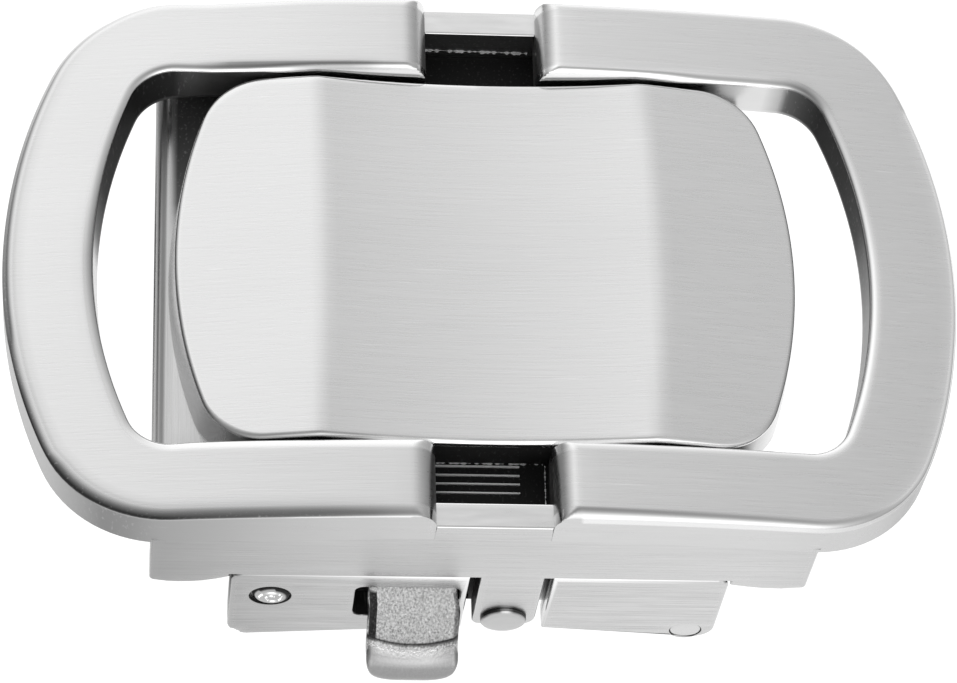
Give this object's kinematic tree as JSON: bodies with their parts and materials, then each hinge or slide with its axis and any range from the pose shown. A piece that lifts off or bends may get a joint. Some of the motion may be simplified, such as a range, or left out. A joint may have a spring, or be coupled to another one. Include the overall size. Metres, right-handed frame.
{
  "type": "ratchet belt buckle",
  "caption": "Ratchet belt buckle with an open arched ring round a faceted plate, a sprung release lever beside it and a toothed strap clamp behind.",
  "frame": {"origin": "centre of the strap channel", "axes": "+X along the strap, towards the clamp's end; +Z out of the buckle's front; the release lever is on the -Y side"},
  "size_m": [0.065, 0.0439, 0.019],
  "materials": {
    "frame_satin": "satin nickel plate, brushed along the strap",
    "plate_satin": "satin nickel plate, brushed along the strap",
    "bracket_satin": "satin nickel plate",
    "pin_metal": "turned steel, nickel plated",
    "lever_cast": "pebbled cast face, bright edges",
    "clamp_steel": "plain nickel plate"
  },
  "bodies": {
    "frame": {"face_frame": "frame_satin", "centre_plate": "plate_satin", "rear_bracket": "bracket_satin", "centre_pin": "pin_metal", "lever_pin": "pin_metal", "clamp_pin": "pin_metal"},
    "lever": {"release_lever": "lever_cast"},
    "clamp": {"strap_clamp": "clamp_steel"}
  },
  "joints": [
    {"name": "lever_press", "type": "hinge", "parent": "frame", "child": "lever", "pos_m": [-0.0142, 0, -0.00325], "axis": [0, 1, 0], "range_deg": [0, 10], "stiffness_Nm_per_rad": 0.2, "springref_deg": -17.19},
    {"name": "clamp_open", "type": "hinge", "parent": "frame", "child": "clamp", "pos_m": [0.01465, 0, -0.00805], "axis": [0, -1, 0], "range_deg": [0, 95]}
  ]
}
